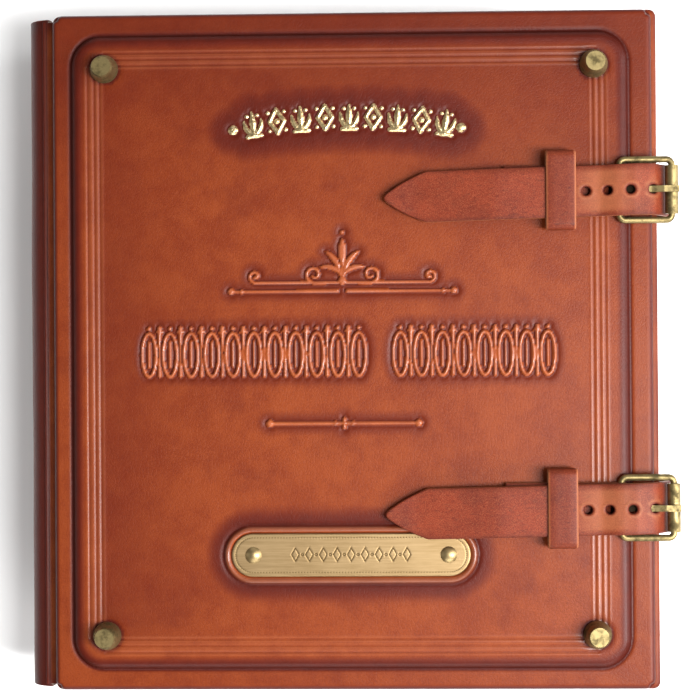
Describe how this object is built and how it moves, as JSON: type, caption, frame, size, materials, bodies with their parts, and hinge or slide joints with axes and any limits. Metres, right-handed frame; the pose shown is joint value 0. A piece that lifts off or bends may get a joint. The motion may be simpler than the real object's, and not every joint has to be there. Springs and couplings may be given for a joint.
{
  "type": "coin album",
  "caption": "Leather-bound ring album with a rounded spine, padded raised cover, four bag feet and two buckled straps.",
  "frame": {"origin": "middle of the album's footprint, at the tips of the back cover's feet", "axes": "+Z out through the front cover, +Y to the head, +X to the buckled fore-edge, spine on -X"},
  "size_m": [0.2596, 0.27, 0.0738],
  "materials": {
    "cover_leather": "glossy, hand-burnished, embossed",
    "case_leather": "semi-gloss",
    "strap_leather": "satin, natural edges",
    "board": "matte grey board",
    "lining": "fine woven book cloth",
    "black_card": "matte",
    "clear_vinyl": "clear film",
    "plate_brass": "satin, engraved",
    "antique_brass": "antiqued, worn bright on the high spots",
    "ring_steel": "nickel plated"
  },
  "bodies": {
    "back_cover": {"back_case_board": "board", "back_case_leather": "case_leather", "back_lining": "lining", "back_panel_board": "board", "back_panel_leather": "cover_leather", "back_feet": "antique_brass", "ring_base": "ring_steel", "base_rivets": "ring_steel", "hinge_plate_right": "ring_steel", "ring_halves_right": "ring_steel", "lever_pins": "ring_steel", "upper_strap_anchor": "strap_leather", "lower_strap_anchor": "strap_leather", "anchor_rivets": "antique_brass"},
    "spine": {"spine_leather": "case_leather", "spine_board": "board", "spine_lining": "lining"},
    "front_cover": {"front_case_board": "board", "front_case_leather": "case_leather", "front_lining": "lining", "front_panel_board": "board", "front_panel_leather": "cover_leather", "front_studs": "antique_brass", "name_plate": "plate_brass", "plate_rivets": "plate_brass", "upper_chape": "strap_leather", "lower_chape": "strap_leather"},
    "left_rings": {"hinge_plate_left": "ring_steel", "ring_halves_left": "ring_steel"},
    "head_lever": {"ring_lever_head": "ring_steel"},
    "tail_lever": {"ring_lever_tail": "ring_steel"},
    "upper_buckle_frame": {"upper_buckle_frame": "antique_brass"},
    "upper_roller": {"upper_roller": "antique_brass"},
    "upper_prong": {"upper_prong": "antique_brass"},
    "upper_keeper": {"upper_keeper": "strap_leather"},
    "upper_strap_side": {"upper_strap_side": "strap_leather"},
    "upper_strap_billet": {"upper_strap_billet": "strap_leather"},
    "lower_buckle_frame": {"lower_buckle_frame": "antique_brass"},
    "lower_roller": {"lower_roller": "antique_brass"},
    "lower_prong": {"lower_prong": "antique_brass"},
    "lower_keeper": {"lower_keeper": "strap_leather"},
    "lower_strap_side": {"lower_strap_side": "strap_leather"},
    "lower_strap_billet": {"lower_strap_billet": "strap_leather"},
    "interleaf_1": {"interleaf_1": "black_card"},
    "pocket_sheet_1": {"pocket_sheet_1": "clear_vinyl"},
    "interleaf_2": {"interleaf_2": "black_card"},
    "pocket_sheet_2": {"pocket_sheet_2": "clear_vinyl"},
    "interleaf_3": {"interleaf_3": "black_card"},
    "pocket_sheet_3": {"pocket_sheet_3": "clear_vinyl"},
    "interleaf_4": {"interleaf_4": "black_card"},
    "pocket_sheet_4": {"pocket_sheet_4": "clear_vinyl"},
    "interleaf_5": {"interleaf_5": "black_card"},
    "pocket_sheet_5": {"pocket_sheet_5": "clear_vinyl"},
    "interleaf_6": {"interleaf_6": "black_card"},
    "pocket_sheet_6": {"pocket_sheet_6": "clear_vinyl"}
  },
  "joints": [
    {"name": "album_opening", "type": "hinge", "parent": "back_cover", "child": "spine", "pos_m": [-0.12, 0, 0.0177], "axis": [0, -1, 0], "range_deg": [0, 90]},
    {"name": "cover_fold", "type": "hinge", "parent": "spine", "child": "front_cover", "pos_m": [-0.12, 0, 0.0557], "axis": [0, -1, 0], "range_deg": [0, 90]},
    {"name": "ring_opening", "type": "hinge", "parent": "back_cover", "child": "left_rings", "pos_m": [-0.0925, 0, 0.022], "axis": [0, 1, 0], "range_deg": [-20, 0]},
    {"name": "head_lever_press", "type": "hinge", "parent": "back_cover", "child": "head_lever", "pos_m": [-0.0925, 0.115, 0.0211], "axis": [1, 0, 0], "range_deg": [-8, 0]},
    {"name": "tail_lever_press", "type": "hinge", "parent": "back_cover", "child": "tail_lever", "pos_m": [-0.0925, -0.115, 0.0211], "axis": [1, 0, 0], "range_deg": [0, 8]},
    {"name": "upper_strap_swing", "type": "hinge", "parent": "back_cover", "child": "upper_strap_side", "pos_m": [0.1145, 0.0622, 0.016], "axis": [0, 1, 0], "range_deg": [0, 90], "deforming": ["upper_strap_side"]},
    {"name": "upper_strap_release", "type": "hinge", "parent": "upper_strap_side", "child": "upper_strap_billet", "pos_m": [0.1195, 0.0622, 0.065], "axis": [0, -1, 0], "range_deg": [-90, 0], "deforming": ["upper_strap_billet"]},
    {"name": "upper_frame_swing", "type": "hinge", "parent": "front_cover", "child": "upper_buckle_frame", "pos_m": [0.1068, 0.0622, 0.06835], "axis": [0, -1, 0], "range_deg": [0, 60]},
    {"name": "upper_prong_swing", "type": "hinge", "parent": "upper_buckle_frame", "child": "upper_prong", "pos_m": [0.1068, 0.0622, 0.06835], "axis": [0, -1, 0], "range_deg": [0, 60]},
    {"name": "upper_roller_spin", "type": "hinge", "parent": "upper_buckle_frame", "child": "upper_roller", "pos_m": [0.1272, 0.0622, 0.06835], "axis": [0, 1, 0], "continuous": true},
    {"name": "upper_keeper_slide", "type": "slide", "parent": "front_cover", "child": "upper_keeper", "axis": [1, 0, 0], "range_m": [-0.008, 0.006]},
    {"name": "lower_strap_swing", "type": "hinge", "parent": "back_cover", "child": "lower_strap_side", "pos_m": [0.1145, -0.0622, 0.016], "axis": [0, 1, 0], "range_deg": [0, 90], "deforming": ["lower_strap_side"]},
    {"name": "lower_strap_release", "type": "hinge", "parent": "lower_strap_side", "child": "lower_strap_billet", "pos_m": [0.1195, -0.0622, 0.065], "axis": [0, -1, 0], "range_deg": [-90, 0], "deforming": ["lower_strap_billet"]},
    {"name": "lower_frame_swing", "type": "hinge", "parent": "front_cover", "child": "lower_buckle_frame", "pos_m": [0.1068, -0.0622, 0.06835], "axis": [0, -1, 0], "range_deg": [0, 60]},
    {"name": "lower_prong_swing", "type": "hinge", "parent": "lower_buckle_frame", "child": "lower_prong", "pos_m": [0.1068, -0.0622, 0.06835], "axis": [0, -1, 0], "range_deg": [0, 60]},
    {"name": "lower_roller_spin", "type": "hinge", "parent": "lower_buckle_frame", "child": "lower_roller", "pos_m": [0.1272, -0.0622, 0.06835], "axis": [0, 1, 0], "continuous": true},
    {"name": "lower_keeper_slide", "type": "slide", "parent": "front_cover", "child": "lower_keeper", "axis": [1, 0, 0], "range_m": [-0.008, 0.006]},
    {"name": "interleaf_1_turn", "type": "hinge", "parent": "back_cover", "child": "interleaf_1", "pos_m": [-0.0925, 0, 0.0367], "axis": [0, -1, 0], "range_deg": [0, 1]},
    {"name": "pocket_sheet_1_turn", "type": "hinge", "parent": "back_cover", "child": "pocket_sheet_1", "pos_m": [-0.0925, 0, 0.0367], "axis": [0, -1, 0], "range_deg": [0, 2]},
    {"name": "interleaf_2_turn", "type": "hinge", "parent": "back_cover", "child": "interleaf_2", "pos_m": [-0.0925, 0, 0.0367], "axis": [0, -1, 0], "range_deg": [0, 4]},
    {"name": "pocket_sheet_2_turn", "type": "hinge", "parent": "back_cover", "child": "pocket_sheet_2", "pos_m": [-0.0925, 0, 0.0367], "axis": [0, -1, 0], "range_deg": [0, 7]},
    {"name": "interleaf_3_turn", "type": "hinge", "parent": "back_cover", "child": "interleaf_3", "pos_m": [-0.0925, 0, 0.0367], "axis": [0, -1, 0], "range_deg": [0, 12]},
    {"name": "pocket_sheet_3_turn", "type": "hinge", "parent": "back_cover", "child": "pocket_sheet_3", "pos_m": [-0.0925, 0, 0.0367], "axis": [0, -1, 0], "range_deg": [0, 20]},
    {"name": "interleaf_4_turn", "type": "hinge", "parent": "back_cover", "child": "interleaf_4", "pos_m": [-0.0925, 0, 0.0367], "axis": [0, -1, 0], "range_deg": [0, 34]},
    {"name": "pocket_sheet_4_turn", "type": "hinge", "parent": "back_cover", "child": "pocket_sheet_4", "pos_m": [-0.0925, 0, 0.0367], "axis": [0, -1, 0], "range_deg": [0, 58]},
    {"name": "interleaf_5_turn", "type": "hinge", "parent": "back_cover", "child": "interleaf_5", "pos_m": [-0.0925, 0, 0.0367], "axis": [0, -1, 0], "range_deg": [0, 98]},
    {"name": "pocket_sheet_5_turn", "type": "hinge", "parent": "back_cover", "child": "pocket_sheet_5", "pos_m": [-0.0925, 0, 0.0367], "axis": [0, -1, 0], "range_deg": [0, 150]},
    {"name": "interleaf_6_turn", "type": "hinge", "parent": "back_cover", "child": "interleaf_6", "pos_m": [-0.0925, 0, 0.0367], "axis": [0, -1, 0], "range_deg": [0, 172]},
    {"name": "pocket_sheet_6_turn", "type": "hinge", "parent": "back_cover", "child": "pocket_sheet_6", "pos_m": [-0.0925, 0, 0.0367], "axis": [0, -1, 0], "range_deg": [0, 180]}
  ],
  "couplings": [
    {"joint": "cover_fold", "follows": "album_opening", "ratio": 1},
    {"joint": "head_lever_press", "follows": "ring_opening", "ratio": 0.4},
    {"joint": "tail_lever_press", "follows": "ring_opening", "ratio": -0.4},
    {"joint": "upper_strap_swing", "follows": "album_opening", "ratio": 1},
    {"joint": "upper_frame_swing", "follows": "upper_strap_release", "ratio": -0.66667},
    {"joint": "upper_prong_swing", "follows": "upper_strap_release", "ratio": -0.66667},
    {"joint": "lower_strap_swing", "follows": "album_opening", "ratio": 1},
    {"joint": "lower_frame_swing", "follows": "lower_strap_release", "ratio": -0.66667},
    {"joint": "lower_prong_swing", "follows": "lower_strap_release", "ratio": -0.66667},
    {"joint": "interleaf_1_turn", "follows": "album_opening", "ratio": 0.0111},
    {"joint": "pocket_sheet_1_turn", "follows": "album_opening", "ratio": 0.0222},
    {"joint": "interleaf_2_turn", "follows": "album_opening", "ratio": 0.0444},
    {"joint": "pocket_sheet_2_turn", "follows": "album_opening", "ratio": 0.0778},
    {"joint": "interleaf_3_turn", "follows": "album_opening", "ratio": 0.1333},
    {"joint": "pocket_sheet_3_turn", "follows": "album_opening", "ratio": 0.2222},
    {"joint": "interleaf_4_turn", "follows": "album_opening", "ratio": 0.3778},
    {"joint": "pocket_sheet_4_turn", "follows": "album_opening", "ratio": 0.6444},
    {"joint": "interleaf_5_turn", "follows": "album_opening", "ratio": 1.0889},
    {"joint": "pocket_sheet_5_turn", "follows": "album_opening", "ratio": 1.6667},
    {"joint": "interleaf_6_turn", "follows": "album_opening", "ratio": 1.9111},
    {"joint": "pocket_sheet_6_turn", "follows": "album_opening", "ratio": 2}
  ]
}
